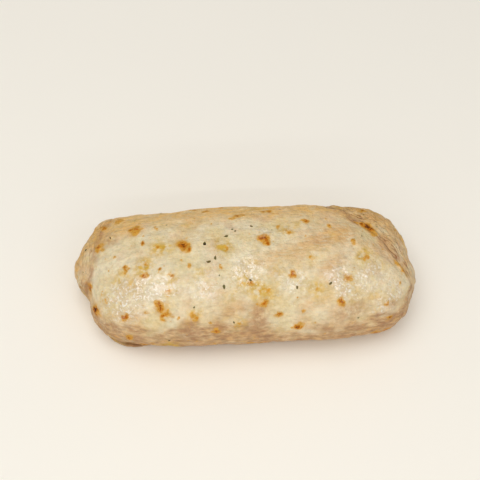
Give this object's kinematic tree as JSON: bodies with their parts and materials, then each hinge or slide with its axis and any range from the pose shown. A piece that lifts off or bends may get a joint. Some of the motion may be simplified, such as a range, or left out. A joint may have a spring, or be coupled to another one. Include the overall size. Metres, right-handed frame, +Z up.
{
  "type": "burrito",
  "caption": "Whole rolled burrito: a toasted flour tortilla folded in at both ends round its filling, uncut, lying on its flattened underside.",
  "frame": {"origin": "middle of the flattened underside's plane, under the centre of the whole", "axes": "+X along the roll towards the end with the shoulder, +Y towards the back of the roll, +Z up"},
  "size_m": [0.191, 0.08, 0.0533],
  "materials": {
    "tortilla": "soft griddled flour tortilla, cream with brown toasted spots and a faint moist sheen"
  },
  "bodies": {
    "root": {"burrito": "tortilla"}
  },
  "joints": []
}
